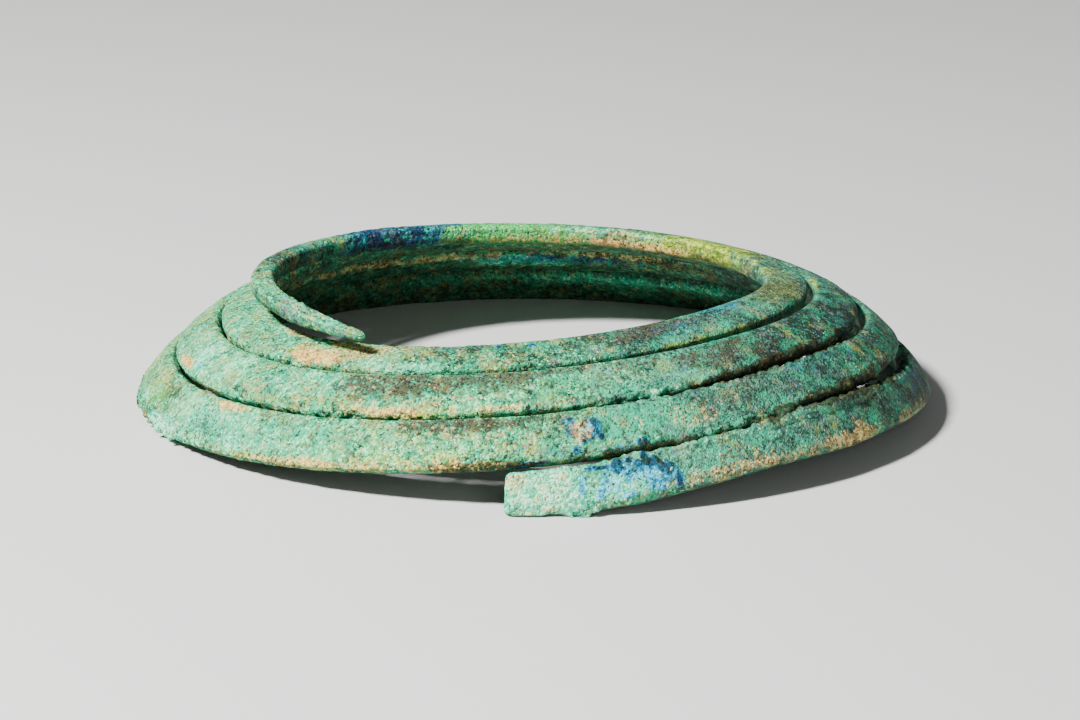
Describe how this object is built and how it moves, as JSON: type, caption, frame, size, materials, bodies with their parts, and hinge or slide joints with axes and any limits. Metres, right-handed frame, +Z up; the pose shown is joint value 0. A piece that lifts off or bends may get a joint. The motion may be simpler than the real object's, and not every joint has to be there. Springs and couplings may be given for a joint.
{
  "type": "coiled armlet",
  "caption": "Spiral arm ring of flattened bronze strip wound into a low open dome, from a thin springing tip down to a blunt end, with a rough green and blue corrosion crust",
  "frame": {"origin": "middle of the outline seen from above, on the plane that the armlet lies on", "axes": "+Z up along the axis of the coil, +X to the right of the blunt end seen from the front, -Y towards the front, where the blunt end and the thin tip are"},
  "size_m": [0.1406, 0.1378, 0.0248],
  "materials": {
    "patinated_bronze": "bronze under a rough, matt green corrosion crust with blue, tan and dark patches"
  },
  "bodies": {
    "root": {"coiled_armlet": "patinated_bronze"}
  },
  "joints": []
}
